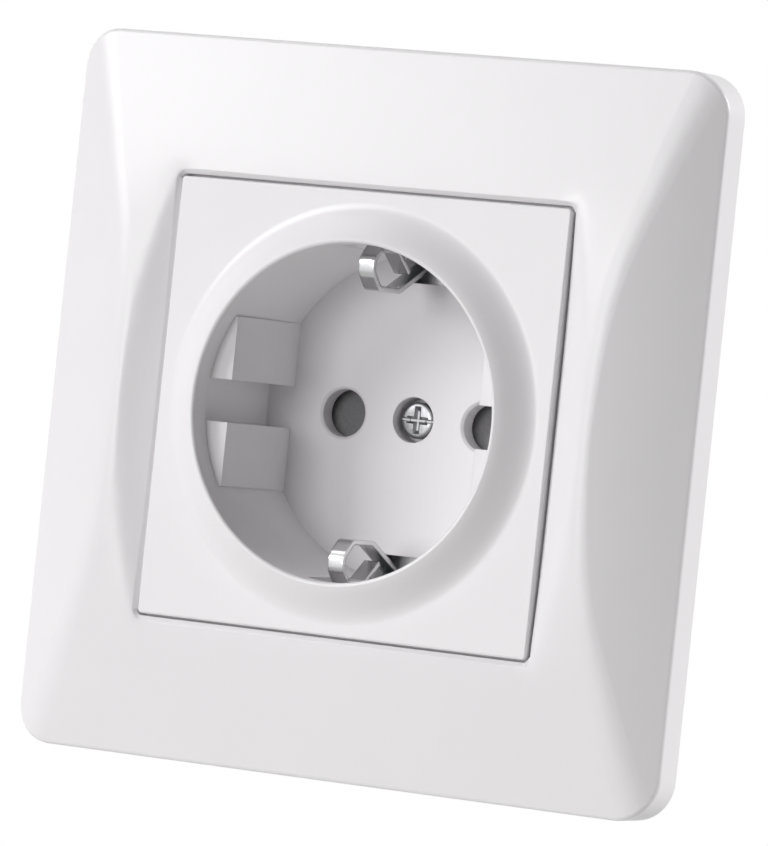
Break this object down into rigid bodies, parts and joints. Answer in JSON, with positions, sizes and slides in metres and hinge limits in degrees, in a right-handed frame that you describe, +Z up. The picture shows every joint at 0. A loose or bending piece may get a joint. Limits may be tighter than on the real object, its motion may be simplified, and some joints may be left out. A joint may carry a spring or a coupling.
{
  "type": "wall socket outlet",
  "caption": "Flush wall socket outlet with a bowed square frame, a round earthed plug well, a steel mounting strap, a terminal base and spreader claws.",
  "frame": {"origin": "on the face of the wall, at the centre of the well and of the box-screw slots", "axes": "+X to the right seen from the front, +Y into the wall, +Z up; the front faces -Y"},
  "size_m": [0.0856, 0.0413, 0.0856],
  "materials": {
    "white_moulding": "smooth satin-gloss moulding",
    "zinc_screw": "bright zinc plate",
    "grey_shutter": "moulded, matt",
    "nickel_spring": "nickel-plated spring strip",
    "zinc_sheet": "zinc-plated pressed sheet",
    "grey_thermoset": "moulded, matt",
    "pale_thermoset": "moulded, matt",
    "contact_brass": "stamped strip",
    "claw_steel": "dull zinc plate"
  },
  "bodies": {
    "insert": {"outer_frame": "white_moulding", "socket_cover": "white_moulding", "cover_screw": "zinc_screw", "earth_contact": "nickel_spring", "mounting_strap": "zinc_sheet", "strap_rivets": "zinc_screw", "contact_base": "grey_thermoset", "rear_cover": "pale_thermoset", "rear_cover_screws": "zinc_screw", "neutral_contact": "contact_brass", "line_contact": "contact_brass", "neutral_clamp_plate": "zinc_sheet", "line_clamp_plate": "zinc_sheet", "earth_clamp_plate": "zinc_sheet", "neutral_terminal_screw": "zinc_screw", "line_terminal_screw": "zinc_screw", "earth_terminal_screw": "zinc_screw", "right_claw_screw": "zinc_screw", "left_claw_screw": "zinc_screw"},
    "right_claw": {"right_claw": "claw_steel"},
    "left_claw": {"left_claw": "claw_steel"},
    "shutter": {"pin_shutter": "grey_shutter"}
  },
  "joints": [
    {"name": "right_claw_swing", "type": "hinge", "parent": "insert", "child": "right_claw", "pos_m": [0.0188, 0.013, 0], "axis": [0, 0, -1], "range_deg": [0, 15]},
    {"name": "left_claw_swing", "type": "hinge", "parent": "insert", "child": "left_claw", "pos_m": [-0.0188, 0.013, 0], "axis": [0, 0, 1], "range_deg": [0, 15]},
    {"name": "shutter_drop", "type": "slide", "parent": "insert", "child": "shutter", "axis": [0, 0, -1], "range_m": [0, 0.0073], "stiffness_N_per_m": 60, "springref_m": -0.005}
  ]
}
